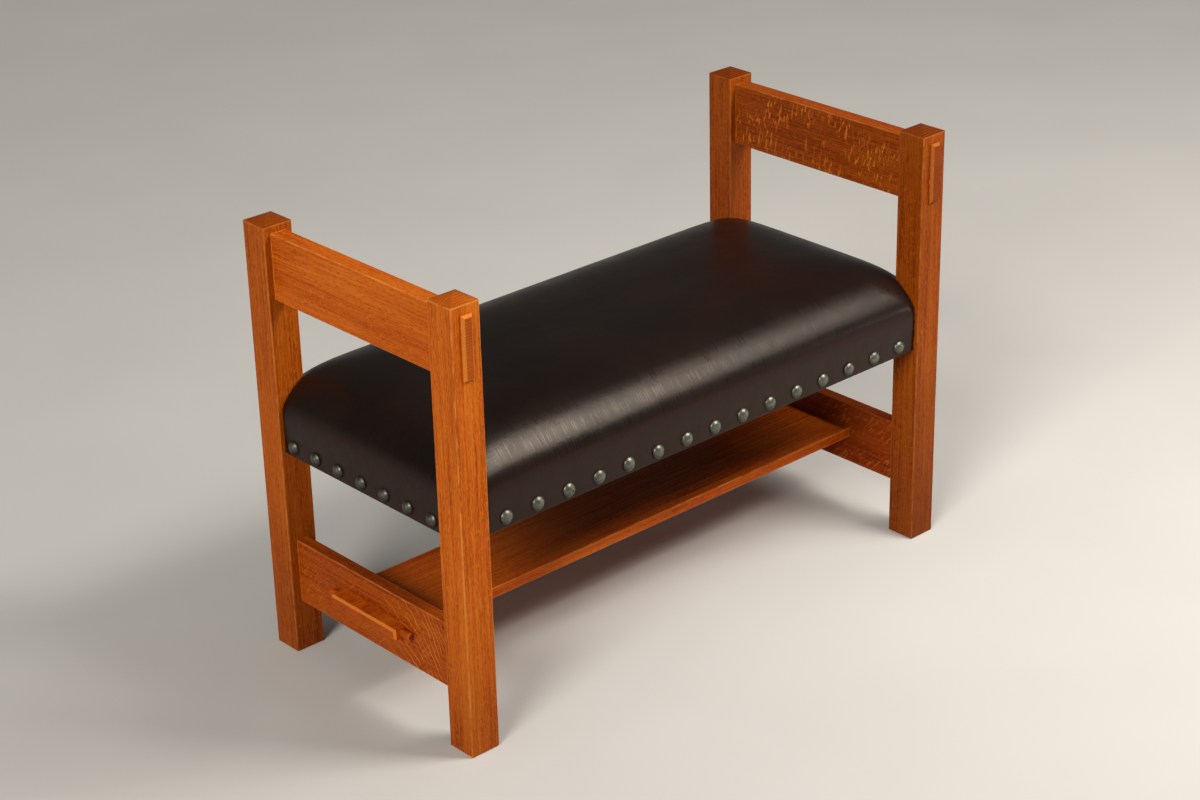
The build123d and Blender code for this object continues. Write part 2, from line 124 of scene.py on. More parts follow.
# %% [markdown]
# ## Sockets that read as arithmetic
#
# A procedural finish is a small sum: some streaks, less some pores, times a wear mask. Drawn as
# nodes that sum is hard to read. The class Signal wraps one output socket, and Python's operators
# on it add the Math nodes. Every other node comes from one method of NodeTree, settings first and
# sockets after. Finish is a NodeTree for a material, with the textures that the finishes share.

# %% Colours
def paint(red, green, blue):
    """A colour from 0 to 255 as a paint chart gives it, in the linear values of a shader."""
    def linear(value):
        share = value / 255
        return share / 12.92 if share <= 0.04045 else ((share + 0.055) / 1.055) ** 2.4
    return (linear(red), linear(green), linear(blue), 1.0)


def own_methods(kind):
    """The plain methods that a class adds."""
    return ", ".join(name for name in vars(kind) if not name.startswith("_"))


print("mid grey in linear values:", [round(value, 3) for value in paint(128, 128, 128)[:3]])


# %% Arithmetic on sockets
class Signal:
    """An output socket that takes part in sums."""

    def __init__(self, finish, socket):
        self.finish = finish
        self.socket = socket

    def math(self, operation, *terms):
        """A Math node on some terms."""
        return self.finish.node("ShaderNodeMath", {"operation": operation}, dict(enumerate(terms)))

    def __add__(self, other):
        return self.math("ADD", self, other)

    def __sub__(self, other):
        return self.math("SUBTRACT", self, other)

    def __rsub__(self, other):
        return self.math("SUBTRACT", other, self)

    def __mul__(self, other):
        return self.math("MULTIPLY", self, other)

    def __abs__(self):
        return self.math("ABSOLUTE", self)

    __radd__ = __add__
    __rmul__ = __mul__

    def larger(self, other):
        return self.math("MAXIMUM", self, other)

    def sine(self):
        return self.math("SINE", self)

    def fade(self, start, end):
        """0 before start, 1 after end, and a smooth step between them."""
        return self.finish.node(
            "ShaderNodeMapRange",
            {"interpolation_type": "SMOOTHSTEP"},
            {"Value": self, "From Min": start, "From Max": end},
        )


print("beside the operators a signal has", own_methods(Signal))


# %% A tree of nodes
def open_socket(sockets, name):
    """The socket in use with that name: a Mix node keeps several with one name."""
    if isinstance(name, int):
        return sockets[name]
    return next(socket for socket in sockets if socket.enabled and socket.name == name)


class NodeTree:
    """A tree of nodes being drawn, for a material or for the sky."""

    def __init__(self, owner):
        owner.use_nodes = True
        self.tree = owner.node_tree

    def node(self, kind, settings=(), sockets=(), output=0):
        """Adds a node: its type, its settings, then the values or links of its sockets."""
        node = self.tree.nodes.new(kind)
        for setting, value in dict(settings).items():
            if setting == "stops":
                ramp = node.color_ramp.elements
                while len(ramp) < len(value):
                    ramp.new(1)
                for element, (position, colour) in zip(ramp, value):
                    element.position, element.color = position, colour
            else:
                setattr(node, setting, value)
        for name, value in dict(sockets).items():
            socket = open_socket(node.inputs, name)
            if isinstance(value, Signal):
                self.tree.links.new(value.socket, socket)
            else:
                socket.default_value = value
        return Signal(self, open_socket(node.outputs, output))

    def axes(self, vector):
        """The X, Y and Z of a vector."""
        split = self.node("ShaderNodeSeparateXYZ", sockets={0: vector}).socket.node
        return [Signal(self, socket) for socket in split.outputs]

    def mix(self, under, over, share, blend="MIX"):
        """One colour over another."""
        settings = {"data_type": "RGBA", "blend_type": blend}
        return self.node(
            "ShaderNodeMix", settings, {"Factor": share, "A": under, "B": over}, "Result"
        )


print("a tree has", own_methods(NodeTree))


# %% A material being made
SEED_SHIFT = (3.7, 5.3, 7.1)


class Finish(NodeTree):
    """A material, with its shader and the coordinates of the bench."""

    def __init__(self, name, **constants):
        self.material = bpy.data.materials.new(name)
        super().__init__(self.material)
        self.tree.nodes.clear()
        self.shader = self.tree.nodes.new("ShaderNodeBsdfPrincipled")
        output = self.tree.nodes.new("ShaderNodeOutputMaterial")
        self.tree.links.new(self.shader.outputs[0], output.inputs["Surface"])
        for socket, value in constants.items():
            self.shader.inputs[socket.replace("_", " ")].default_value = value
        self.place = self.node("ShaderNodeTexCoord", output="Object")
        self.facing = self.node("ShaderNodeNewGeometry", output="Normal")

    def join(self, across, back, up):
        """A vector from three values."""
        return self.node("ShaderNodeCombineXYZ", sockets={0: across, 1: back, 2: up})

    def stretch(self, scales, seed, vector=None):
        """Coordinates at one scale or one for each axis, in a fresh part of a texture."""
        scales = scales if isinstance(scales, tuple) else (scales,) * 3
        shift = tuple(seed * step for step in SEED_SHIFT)
        sockets = {0: vector or self.place, 1: scales, 2: shift}
        return self.node("ShaderNodeVectorMath", {"operation": "MULTIPLY_ADD"}, sockets)

    def clouds(self, scales, seed, detail=2.0, distortion=0.0, vector=None):
        """Soft noise around a half."""
        sockets = {"Vector": self.stretch(scales, seed, vector), "Scale": 1.0}
        sockets |= {"Detail": detail, "Distortion": distortion}
        return self.node("ShaderNodeTexNoise", sockets=sockets)

    def grain(self, along, few, many, seed, **settings):
        """Soft noise drawn out along an axis."""
        scales = tuple(few if axis == along else many for axis in "XYZ")
        return self.clouds(scales, seed, **settings)

    def cells(self, scales, seed, feature="F1"):
        """Distance to scattered points, or to the borders between them."""
        sockets = {"Vector": self.stretch(scales, seed), "Scale": 1.0}
        return self.node("ShaderNodeTexVoronoi", {"feature": feature}, sockets)

    def ramp(self, value, stops):
        """A colour for each value."""
        return self.node("ShaderNodeValToRGB", {"stops": stops}, {"Fac": value})

    def surface(self, colour, roughness, height, depth, strength=1.0, metallic=None):
        """Feeds the shader, with the height in shares of a depth in metres."""
        sockets = {"Height": height, "Distance": depth, "Strength": strength}
        feeds = {
            "Base Color": colour,
            "Roughness": roughness,
            "Normal": self.node("ShaderNodeBump", sockets=sockets),
        }
        if metallic is not None:
            feeds["Metallic"] = metallic
        for name, value in feeds.items():
            self.tree.links.new(value.socket, self.shader.inputs[name])
        return self.material


print("a finish adds", own_methods(Finish))

# %% [markdown]
# ## Quarter-sawn oak
#
# Oak sawn along its rays shows straight grain, short dark pores and pale flecks that lie across the
# grain like brush marks. An image of a board would repeat and would stop at the edges, so the wood
# is a solid texture here: noise in the bench's own coordinates, stretched along each board, which
# runs over the edges and shows rings at the board's ends. The stain is warm brown under an amber
# lacquer. It is dark on the end grain, which drinks it. The edges and bevels are painted paler,
# partly as wear from hands and cloths and partly as a painted highlight. The posts are painted
# darker towards the floor, as shade. Each board has a tone of its own, partly its own stain and
# partly
# painted shade: the boards on the right and at the back are darker, and the shelf is painted
# lighter against the shade under the seat.

# %% Tones of the stain
OAK_LIGHT = paint(214, 118, 32)
OAK_WARM = paint(196, 95, 16)
OAK_BROWN = paint(174, 76, 8)
OAK_DARK = paint(140, 54, 4)
OAK_PORE = paint(96, 34, 4)
OAK_RAY = paint(202, 112, 36)
# Pale for worn edges and for the painted highlight on edges and bevels.
OAK_WORN_AND_HIGHLIGHT = paint(238, 158, 76)
OAK_END = paint(84, 29, 7)
# Painted shade for the foot of each post.
FOOT_PAINTED_SHADE = (0.62, 0.58, 0.56, 1.0)
AMBER = (1.0, 0.78, 0.55, 1.0)
ARRIS = 2.6 * MM
print("oak tones run from", [round(value, 3) for value in OAK_DARK[:3]], "to",
      [round(value, 3) for value in OAK_LIGHT[:3]])


# %% The oak finish
def worn_and_highlit_edges(place, low, high):
    """Where an edge is painted pale, as wear and as a painted highlight: near two faces at once."""
    x, y, z = (
        abs(place[axis] - (a + b) / 2).fade((b - a) / 2 - ARRIS, (b - a) / 2)
        for axis, a, b in zip("XYZ", low, high)
    )
    return (x * y).larger(y * z).larger(x * z)


def oak(name, along, seed, tone, rays=0.1, lean=0.4, broad="X", streak=1.0, board=None, sweep=0.0,
        end_share=0.5):
    """Stained oak, with its grain along an axis and its rays on the faces that face broad.

    The rays lean against the grain, and a sweep bends some into arcs. The board's edges and bevels
    are painted paler, as wear and as a painted highlight. A streak below 1 evens the grain, and the
    end share is how dark the end grain is. The tone is partly the board's own and partly painted
    shade.
    """
    finish = Finish(name, Specular_IOR_Level=0.10, Specular_Tint=AMBER)
    place = dict(zip("XYZ", finish.axes(finish.place)))
    facing = dict(zip("XYZ", finish.axes(finish.facing)))
    bands = finish.grain(along, 2.0, 42, seed)
    streaks = finish.grain(along, 5, 420, seed + 1, detail=3, distortion=0.2)
    fibres = finish.grain(along, 28, 1300, seed + 2)
    cloudy = finish.grain(along, 4, 12, seed + 8)
    pores = finish.grain(along, 120, 900, seed + 3, detail=1).fade(0.56, 0.66)
    flecks = finish.grain(along, 150, 620, seed + 9, detail=1).fade(0.56, 0.68)
    varied = (bands - 0.5) * 0.22 + (streaks - 0.5) * 0.42
    varied = varied + (fibres - 0.5) * 0.34 + (cloudy - 0.5) * 0.28
    shade = varied * streak + 0.53

    stops = ((0.40, OAK_DARK), (0.47, OAK_BROWN), (0.54, OAK_WARM), (0.65, OAK_LIGHT))
    colour = finish.ramp(shade, stops)
    colour = finish.mix(colour, OAK_PORE, pores * 0.38)
    colour = finish.mix(colour, OAK_LIGHT, flecks * 0.6)
    if board:
        wear_and_highlight_patches = finish.clouds(45, seed + 10).fade(0.30, 0.62)
        # Pale edges: partly wear, partly a painted highlight along the edges.
        colour = finish.mix(colour, OAK_WORN_AND_HIGHLIGHT, worn_and_highlit_edges(place, *board) * (0.18 + wear_and_highlight_patches * 0.54))

    end = abs(facing[along]).fade(0.80, 0.92)
    bevel = abs(facing[along]).fade(0.30, 0.55) * (1 - end)
    across = next(axis for axis in "XYZ" if axis not in (along, broad))
    rings = finish.node(
        "ShaderNodeTexWave",
        {"wave_type": "BANDS", "bands_direction": across, "wave_profile": "SAW"},
        {"Vector": finish.stretch(1, seed + 6), "Scale": 76.0, "Distortion": 6.0,
         "Detail": 2.0, "Detail Scale": 0.7},
    )
    specks = finish.clouds(900, seed + 7, detail=1)
    end_grain = finish.mix(OAK_END, OAK_WARM, rings * 0.8 + specks * 0.2 - 0.1)
    colour = finish.mix(colour, end_grain, end * end_share)
    # Bevels painted paler: partly wear, partly a painted highlight on every bevel.
    colour = finish.mix(colour, OAK_WORN_AND_HIGHLIGHT, bevel * 0.5)
    colour = finish.mix(colour, (*tone, 1.0), 1.0, "MULTIPLY")
    # Painted shade: the posts are painted darker towards the floor.
    if along == "Z":
        colour = finish.mix(colour, FOOT_PAINTED_SHADE, 1 - place["Z"].fade(-0.12, 0.36), "MULTIPLY")

    leaning = place[along] + place[across] * lean
    ray_place = finish.join(*(leaning if axis == along else place[axis] for axis in "XYZ"))
    marks = finish.grain(along, 230, 52, seed + 4, detail=1, distortion=1.1, vector=ray_place)
    marks = marks.fade(0.58, 0.65)
    patches = finish.clouds(15, seed + 5).fade(0.38, 0.56)
    marks = marks * patches * abs(facing[broad]).fade(0.6, 0.9) * rays
    if sweep:
        run = (place[along] * -1).larger(0)
        wander = finish.clouds(16, seed + 11, detail=3) * 0.05
        broken = finish.clouds(34, seed + 12).fade(0.38, 0.54)
        arcs = ((place["Z"] + run * run * sweep + wander) * 400).sine()
        arcs = arcs.fade(0.78, 1.0) * run.fade(-0.02, 0.12) * broken
        marks = marks.larger(arcs * abs(facing[broad]).fade(0.6, 0.9) * 1.3)
    colour = finish.mix(colour, OAK_RAY, marks * 0.66)

    roughness = 0.44 + streaks * 0.12 + pores * 0.12 - marks * 0.12 + bevel * 0.2
    height = fibres * 0.4 - pores * 0.9 + marks * 0.2
    return finish.surface(colour, roughness, height, 0.00012, 0.5)


# The pale edges are partly wear and partly a painted highlight.
print("rubbed edges are", in_mm(ARRIS), "mm wide")


# %% Dress the oak pieces
POST_RIM = 643 * MM


def dress(material, *names):
    """Gives CAD nodes a finish."""
    for name in names:
        mesh = nodes[name].data
        mesh.materials.clear()
        mesh.materials.append(material)


def between_posts(name):
    """A rail's box without the tenons that go into the posts."""
    low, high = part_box(name)
    reach = -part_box("post_front_left")[1].y
    return Vector((low.x, -reach, low.z)), Vector((high.x, reach, high.z))


def below_rim(name):
    """A post's box up to the rim of its pyramid."""
    low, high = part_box(name)
    return low, Vector((high.x, high.y, POST_RIM))


# Each post's tone and end grain share are partly its own stain and partly painted shade: front left
# lightest, right posts darkest.
POST_TONES = {
    "front_left": ((0.88, 0.85, 0.78), 0.55),
    "back_left": ((0.64, 0.58, 0.52), 0.75),
    "front_right": ((0.45, 0.40, 0.36), 1.0),
    "back_right": ((0.46, 0.39, 0.35), 1.0),
}
for count, (corner, (tone, top_dark)) in enumerate(POST_TONES.items()):
    post = f"post_{corner}"
    finish = oak(
        f"oak {post}", "Z", 1 + 10 * count, tone, 0.12, 0.2,
        streak=0.85, board=below_rim(post), end_share=top_dark,
    )
    dress(finish, post)
# The rails' tones are partly their own and partly painted shade: the right-hand rails are darker.
for rail, seed, tone, rays, lean, streak, sweep in (
    ("crest_rail_left", 112, (0.85, 0.77, 0.70), 0.05, 0.4, 0.7, 0.0),
    ("crest_rail_right", 23, (0.44, 0.36, 0.32), 1.0, 0.12, 0.8, 0.0),
    ("lower_rail_left", 34, (0.56, 0.44, 0.40), 0.35, 0.9, 0.9, 5.5),
    ("lower_rail_right", 45, (0.37, 0.24, 0.24), 0.5, 0.9, 0.9, 0.0),
):
    finish = oak(
        f"oak {rail}", "Y", seed, tone, rays, lean,
        streak=streak, board=between_posts(rail), sweep=sweep,
    )
    dress(finish, rail)
# The shelf's tone is partly its own and partly painted light, raised against the shade under the
# seat.
finish = oak("oak shelf", "X", 56, (0.84, 0.67, 0.58), 0.3, 0.5, "Z", board=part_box("shelf"))
dress(finish, "shelf")
dress(oak("oak pegs", "Y", 67, (0.62, 0.46, 0.4), 0.0), "shelf_pegs_left", "shelf_pegs_right")
dress(oak("oak lower pins", "X", 78, (0.7, 0.62, 0.6), 0.0), "lower_rail_pins")
dress(oak("oak seat pins", "Y", 89, (0.85, 0.8, 0.8), 0.0), "seat_rail_pins")
print("oak in", sum(m.name.startswith("oak") for m in bpy.data.materials), "finishes")

# %% [markdown]
# ## The hidden frame
#
# Under the leather there are plain boards, glued corner blocks, a plywood deck and steel screws.
# They are seen only when the seat is taken off, but a part that is taken apart should still be
# right. The boards are pale unstained wood, and the plywood shows its plies at the edge: bands by
# height, on the faces that don't face up.

# %% Plain wood, plywood and steel
def plain_wood(name, along, seed):
    """Pale unstained wood, sawn and left rough."""
    finish = Finish(name)
    streaks = finish.grain(along, 5, 150, seed, detail=3)
    fibres = finish.grain(along, 30, 1200, seed + 1)
    stops = ((0.35, paint(158, 120, 78)), (0.65, paint(204, 170, 124)))
    colour = finish.ramp(streaks * 0.7 + fibres * 0.3, stops)
    return finish.surface(colour, 0.62 + fibres * 0.2, fibres, 0.0002, 0.6)


def plywood(name, bottom, top, plies):
    """Thin plies whose edges turn from pale to dark."""
    finish = Finish(name)
    place = finish.axes(finish.place)
    upward_face = abs(finish.axes(finish.facing)[2]).fade(0.5, 0.8)
    ply = (place[2] - bottom) * (plies / (top - bottom))
    dark_ply = ply.math("PINGPONG", ply, 1.0).fade(0.42, 0.58)
    streaks = finish.clouds((6, 120, 120), 3, detail=3)
    edge = finish.mix(paint(196, 160, 112), paint(120, 84, 50), dark_ply)
    face = finish.ramp(streaks, ((0.35, paint(176, 136, 90)), (0.65, paint(214, 182, 138))))
    colour = finish.mix(edge, face, upward_face)
    return finish.surface(colour, 0.66 + streaks * 0.15, streaks + dark_ply * 0.4, 0.0003, 0.5)


def steel(name, colour, seed):
    """Zinc plated steel with a faint bloom."""
    finish = Finish(name)
    bloom = finish.clouds(400, seed)
    shade = finish.mix(colour, paint(96, 94, 88), bloom.fade(0.4, 0.7) * 0.5)
    return finish.surface(shade, 0.30 + bloom * 0.25, bloom, 0.0001, 0.4, 0.9 + bloom * 0.1)


dress(plain_wood("plain wood long rails", "X", 5), "seat_rail_front", "seat_rail_back")
end_rails = ("seat_rail_left", "seat_rail_right", "seat_cross_rail")
dress(plain_wood("plain wood end rails", "Y", 6), *end_rails)
dress(plain_wood("plain wood blocks", "Z", 7), *(f"corner_block_{corner}" for corner in POST_TONES))
deck_low, deck_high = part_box("seat_deck")
dress(plywood("plywood", deck_low.z, deck_high.z, 9), "seat_deck")
dress(steel("zinc plated steel", paint(186, 184, 176), 8), "deck_screws", "block_screws")
dress(steel("blued steel", paint(70, 72, 78), 9), "dust_cover_tacks")
print("hidden frame dressed, deck", in_mm(deck_high.z - deck_low.z), "mm thick")

# %% [markdown]
# ## The shape of the seat
#
# The seat is a crowned pad whose sides stand straight and whose shoulders turn over in a tight
# curve. The shape can be sculpted, or lofted from outlines. Here one curve gives the height by the
# distance from a side, and the two distances of a point, from the ends and from the long sides, are
# blended so that the corners fall a little lower than the middle. Beside a post the leather is
# turned in, so it rolls down over the last few millimetres. One function then serves the leather,
# the wadding and the foam.

# %% Measures of the seat, read from the frame
seat_low, seat_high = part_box("leather_cover")
post_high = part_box("post_front_left")[1]
SEAT_X, SEAT_Y = seat_high.x, seat_high.y
SEAT_BOTTOM, SEAT_TOP = seat_low.z, seat_high.z
POST_X, POST_Y = -post_high.x, -post_high.y
SIDE_HEIGHT = 55 * MM
SIDE_TOP = SEAT_BOTTOM + SIDE_HEIGHT
POST_GAP = 0.4 * MM
CROWN_SHARES = (
    (0.0, 0.0), (0.003, 0.10), (0.013, 0.22), (0.033, 0.34), (0.065, 0.46), (0.115, 0.60),
    (0.186, 0.75), (0.3, 0.875), (0.45, 0.95), (0.65, 0.988), (0.83, 1.0), (1.0, 1.0),
)
CORNER_BLEND = 1.75
print("seat", in_mm(2 * SEAT_X), "by", in_mm(2 * SEAT_Y), "mm, its sides",
      in_mm(SIDE_HEIGHT), "mm high, its crown", in_mm(SEAT_TOP - SEAT_BOTTOM), "mm")


# %% One curve from the side to the crown
def smooth_step(share):
    """A share from 0 to 1, eased at both ends."""
    share = min(max(share, 0), 1)
    return share * share * (3 - 2 * share)


def between(rows, place):
    """A row of a table at any place, on a smooth curve through its rows."""
    index = min(int(place), len(rows) - 2)
    t = place - index
    steps = (rows[min(max(index + step, 0), len(rows) - 1)] for step in (-1, 0, 1, 2))
    return tuple(
        b + 0.5 * t * (c - a + t * (2 * a - 5 * b + 4 * c - d + t * (3 * (b - c) + d - a)))
        for a, b, c, d in zip(*steps)
    )


STEPS = 12
curve_length = STEPS * (len(CROWN_SHARES) - 1) + 1
curve = [between(CROWN_SHARES, step / STEPS) for step in range(curve_length)]


def level_share(from_side):
    """How far up the crown a point is, by its distance from a side in half depths of the seat."""
    if from_side >= 1:
        return 1.0
    index = bisect.bisect_right(curve, from_side, key=lambda point: point[0])
    if index == 0:
        return 0.0
    (near, low), (far, high) = curve[index - 1], curve[index]
    return min(low + (high - low) * (from_side - near) / (far - near), 1.0)


HAND = 80 * MM
rise = round(100 * level_share(HAND / SEAT_Y))
print("a hand's breadth in, the crown has", rise, "% of its rise")


# %% The height of the crown at a point
def roll(distance, radius):
    """How far a rolled edge has turned away at a distance from its end."""
    left = max(radius - distance, 0)
    return radius - math.sqrt(radius ** 2 - left ** 2)


END_WALL_ROLL, LONG_WALL_ROLL = 6 * MM, 4 * MM
ROLL_START, ROLL_SPAN, LEAST_ROLL = 6 * MM, 32 * MM, 0.02


def post_roll(x, y, height):
    """How far the leather has rolled down beside a post, more so high above the sides' top."""
    across, back = max(POST_X - abs(x), 0), max(POST_Y - abs(y), 0)
    distance = math.hypot(across, back)
    turned = math.atan2(back, across) / (math.pi / 2) if distance > 0 else 0.5
    radius = END_WALL_ROLL * (1 - turned) + LONG_WALL_ROLL * turned
    firm = min(max((height - SIDE_TOP - ROLL_START) / ROLL_SPAN, LEAST_ROLL), 1)
    return roll(distance, radius * firm)


def crown_height(x, y, inset=0.0):
    """The height of the seat above a point of the plan, set in by an inset."""
    falls = [
        1 - level_share(max(half - inset - abs(place), 0) / SEAT_Y)
        for half, place in ((SEAT_X, x), (SEAT_Y, y))
    ]
    fall = sum(part ** CORNER_BLEND for part in falls) ** (1 / CORNER_BLEND)
    height = SEAT_TOP - (SEAT_TOP - SIDE_TOP) * min(fall, 1) - inset
    return max(height - post_roll(x, y, height), SIDE_TOP - inset)


for name, place in (("middle", (0, 0)), ("long side", (0, 165 * MM)), ("post", (POST_X, POST_Y))):
    print("height at the", name, in_mm(crown_height(*place)), "mm")

# %% [markdown]
# ## A grid that fits the notches
#
# Leather folds along clean lines, so its mesh wants rows of quads that follow the edges. A grid
# over the plan does that if its lines bunch up at the shoulders and beside the posts. The cells in
# the four corners, where the posts stand, are left out, and a skirt of rows hangs from the border.

# %% Lines of the grid
SIDE_STEPS = (0, 0.6, 1.6, 3.0, 5.0, 7.6, 11.0, 15.0, 20.0, 26.0, 33.0)
NOTCH_STEPS = (0, 1.4, 3.6, 8.0, 15.0, 24.0)
COVER_SPACING, FILLING_SPACING = 9 * MM, 16 * MM


def grid_lines(half, notch, spacing, fine):
    """Places across the seat: fine near the sides and the notches, even in the middle."""
    near_side = [half - step * MM for step in SIDE_STEPS]
    near_notch = [notch - step * MM for step in NOTCH_STEPS]
    if not fine:
        near_side, near_notch = near_side[::3], near_notch[::2]
    inner = near_notch[-1]
    count = round(2 * inner / spacing)
    middle = [inner * (2 * step / count - 1) for step in range(1, count)]
    positive = near_side + near_notch
    return sorted([-place for place in positive] + middle + positive)


print(len(grid_lines(SEAT_X, POST_X, COVER_SPACING, True)), "lines along the seat,",
      len(grid_lines(SEAT_Y, POST_Y, COVER_SPACING, True)), "across it")


# %% The cap and its border
SWELL = 1.6 * MM
SWELL_REACH = 14 * MM


def swell(x, y, inset):
    """How far the shoulders stand out past the flat sides."""
    out = [
        math.copysign(SWELL * (1 - smooth_step((half - inset - abs(place)) / SWELL_REACH)), place)
        for half, place in ((SEAT_X, x), (SEAT_Y, y))
    ]
    return Vector((*out, 0))


def crowned_cap(mesh, inset, spacing, floor, fine=True):
    """The top of the seat, as quads over the plan less the four notches."""
    notch_x, notch_y = POST_X - POST_GAP - inset, POST_Y - POST_GAP - inset
    xs = grid_lines(SEAT_X - inset, notch_x, spacing, fine)
    ys = grid_lines(SEAT_Y - inset, notch_y, spacing, fine)
    verts = {}

    def vert(i, j):
        if (i, j) not in verts:
            x, y = xs[i], ys[j]
            place = Vector((x, y, max(crown_height(x, y, inset), floor)))
            verts[i, j] = mesh.verts.new(place + swell(x, y, inset))
        return verts[i, j]

    for i in range(len(xs) - 1):
        for j in range(len(ys) - 1):
            middle_x, middle_y = (xs[i] + xs[i + 1]) / 2, (ys[j] + ys[j + 1]) / 2
            if abs(middle_x) > notch_x and abs(middle_y) > notch_y:
                continue
            mesh.faces.new((vert(i, j), vert(i + 1, j), vert(i + 1, j + 1), vert(i, j + 1)))
    return notch_x, notch_y


def border(mesh):
    """The border of an open mesh as one loop of vertices, counter clockwise from above."""
    edges = [edge for edge in mesh.edges if edge.is_boundary]
    start = edges[0].verts[0]
    loop, edge = [start], edges[0]
    while True:
        vert = edge.other_vert(loop[-1])
        if vert is start:
            break
        loop.append(vert)
        edge = next(e for e in vert.link_edges if e.is_boundary and e is not edge)
    area = sum(a.co.x * b.co.y - b.co.x * a.co.y for a, b in zip(loop, loop[1:] + loop[:1]))
    return loop if area > 0 else loop[::-1]


def on_plan(place):
    """The plan's own point under a border point that stands out past a flat side."""
    x, y = place.x, place.y
    x = math.copysign(SEAT_X, x) if abs(x) > SEAT_X else x
    y = math.copysign(SEAT_Y, y) if abs(y) > SEAT_Y else y
    return x, y


def wall(mesh, upper, lower):
    """Quads between two closed loops of vertices."""
    for i, (above, below) in enumerate(zip(upper, lower)):
        k = (i + 1) % len(upper)
        mesh.faces.new((above, below, lower[k], upper[k]))


trial = bmesh.new()
crowned_cap(trial, 0.0, COVER_SPACING, SIDE_TOP)
print(len(trial.faces), "quads on top,", len(border(trial)), "points round the border")
trial.free()

# %% [markdown]
# ## The leather cover
#
# The hide is pulled down over the pad, nailed along its lower edge, folded under, and slit at the
# posts, where it is turned in along a narrow roll. A cloth simulation can blow such a cover up, but
# like a balloon it rounds off the shoulders, which the foam holds up in the real seat. So the
# fullness is a formula here. A side stands out a little below its shoulder and between its nails,
# is drawn in at each nail, and rolls over at its lower corners and beside the posts. The rows are
# then smoothed by one subdivision.

# %% Where the nails hold the leather
nail_low, nail_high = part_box("nails_front")
end_low, end_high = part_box("nails_left")
NAIL_RADIUS = (nail_high.z - nail_low.z) / 2
NAIL_LEVEL = (nail_high.z + nail_low.z) / 2
FRONT_COUNT, END_COUNT = 15, 7
TOLERANCE = 0.01 * MM


def evenly(low, high, count):
    """Centres of round heads that touch both ends of a row."""
    first, last = low + NAIL_RADIUS, high - NAIL_RADIUS
    return [first + (last - first) * step / (count - 1) for step in range(count)]


front_nails = evenly(nail_low.x, nail_high.x, FRONT_COUNT)
end_nails = evenly(end_low.y, end_high.y, END_COUNT)
print("front nails every", in_mm(front_nails[1] - front_nails[0]), "mm, end nails every",
      in_mm(end_nails[1] - end_nails[0]), "mm")


# %% The skirt
def side_of(x, y, notch_x, notch_y):
    """A border point's side: its facing, the place along it, the way to a post, its nails."""
    if abs(x) > SEAT_X - TOLERANCE:
        return Vector((math.copysign(1, x), 0, 0)), y, notch_y - abs(y), end_nails
    if abs(y) > SEAT_Y - TOLERANCE:
        return Vector((0, math.copysign(1, y), 0)), x, notch_x - abs(x), front_nails
    return None


PULL_REACH = 17 * MM


def fullness(place, height, nails):
    """How far a side stands out between its nails and below its shoulder."""
    pull = min(abs(place - nail) for nail in nails) / PULL_REACH
    lift = (height - NAIL_LEVEL) / PULL_REACH
    held = math.exp(-(pull ** 2 + lift ** 2))
    rise = (height - SEAT_BOTTOM) / (SIDE_TOP - SEAT_BOTTOM)
    return SWELL * (1 - held) * (0.1 + 0.9 * smooth_step(rise / 0.8))


ROWS = (0.06, 0.16, 0.28, 0.40, 0.52, 0.64, 0.76, 0.88, 0.96, 1.0)
TURNS = (1.4, 4.0, 10.0, 15.5)
CORNER_ROUND = 5 * MM
SIDE_ROLL = 3.6 * MM


def skirt(mesh, loop, plan, notch_x, notch_y):
    """Rows that hang from the cap's border, turned under along the sides only."""
    sides = [side_of(x, y, notch_x, notch_y) for x, y in plan]
    rows = [loop]
    for vert, side in zip(loop, sides):
        if side:
            vert.co -= side[0] * roll(side[2], SIDE_ROLL)
    for share in ROWS:
        row = []
        for vert, (x, y), side in zip(loop, plan, sides):
            bottom = SEAT_BOTTOM + (roll(side[2], CORNER_ROUND) if side else 0)
            place = Vector((x, y, vert.co.z + (bottom - vert.co.z) * share))
            if side:
                place += side[0] * (fullness(side[1], place.z, side[3]) - roll(side[2], SIDE_ROLL))
            row.append(mesh.verts.new(place))
        rows.append(row)
    for upper, lower in zip(rows, rows[1:]):
        wall(mesh, upper, lower)
    turned = {}
    for i, side in enumerate(sides):
        if side:
            edge = rows[-1][i]
            inward = [mesh.verts.new(edge.co - side[0] * turn * MM) for turn in TURNS]
            turned[i] = [edge, *inward]
    for i, column in turned.items():
        k = (i + 1) % len(loop)
        if k in turned and sides[k][0] == sides[i][0]:
            for a, b, c, d in zip(column, column[1:], turned[k][1:], turned[k]):
                mesh.faces.new((a, b, c, d))


def add_piece(name, mesh, material):
    """Makes a smooth object of a mesh, with its finish, under the root body."""
    data = bpy.data.meshes.new(name)
    mesh.to_mesh(data)
    mesh.free()
    data.materials.append(material)
    data.polygons.foreach_set("use_smooth", [True] * len(data.polygons))
    piece = add_object(name, data)
    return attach(piece, "root")


def thicken(piece, thickness, side):
    """Gives a sheet a thickness, to one side of it."""
    layer = piece.modifiers.new("thickness", "SOLIDIFY")
    layer.thickness, layer.offset = thickness, side


print("skirt of", len(ROWS), "rows, turned under", TURNS[-1], "mm")
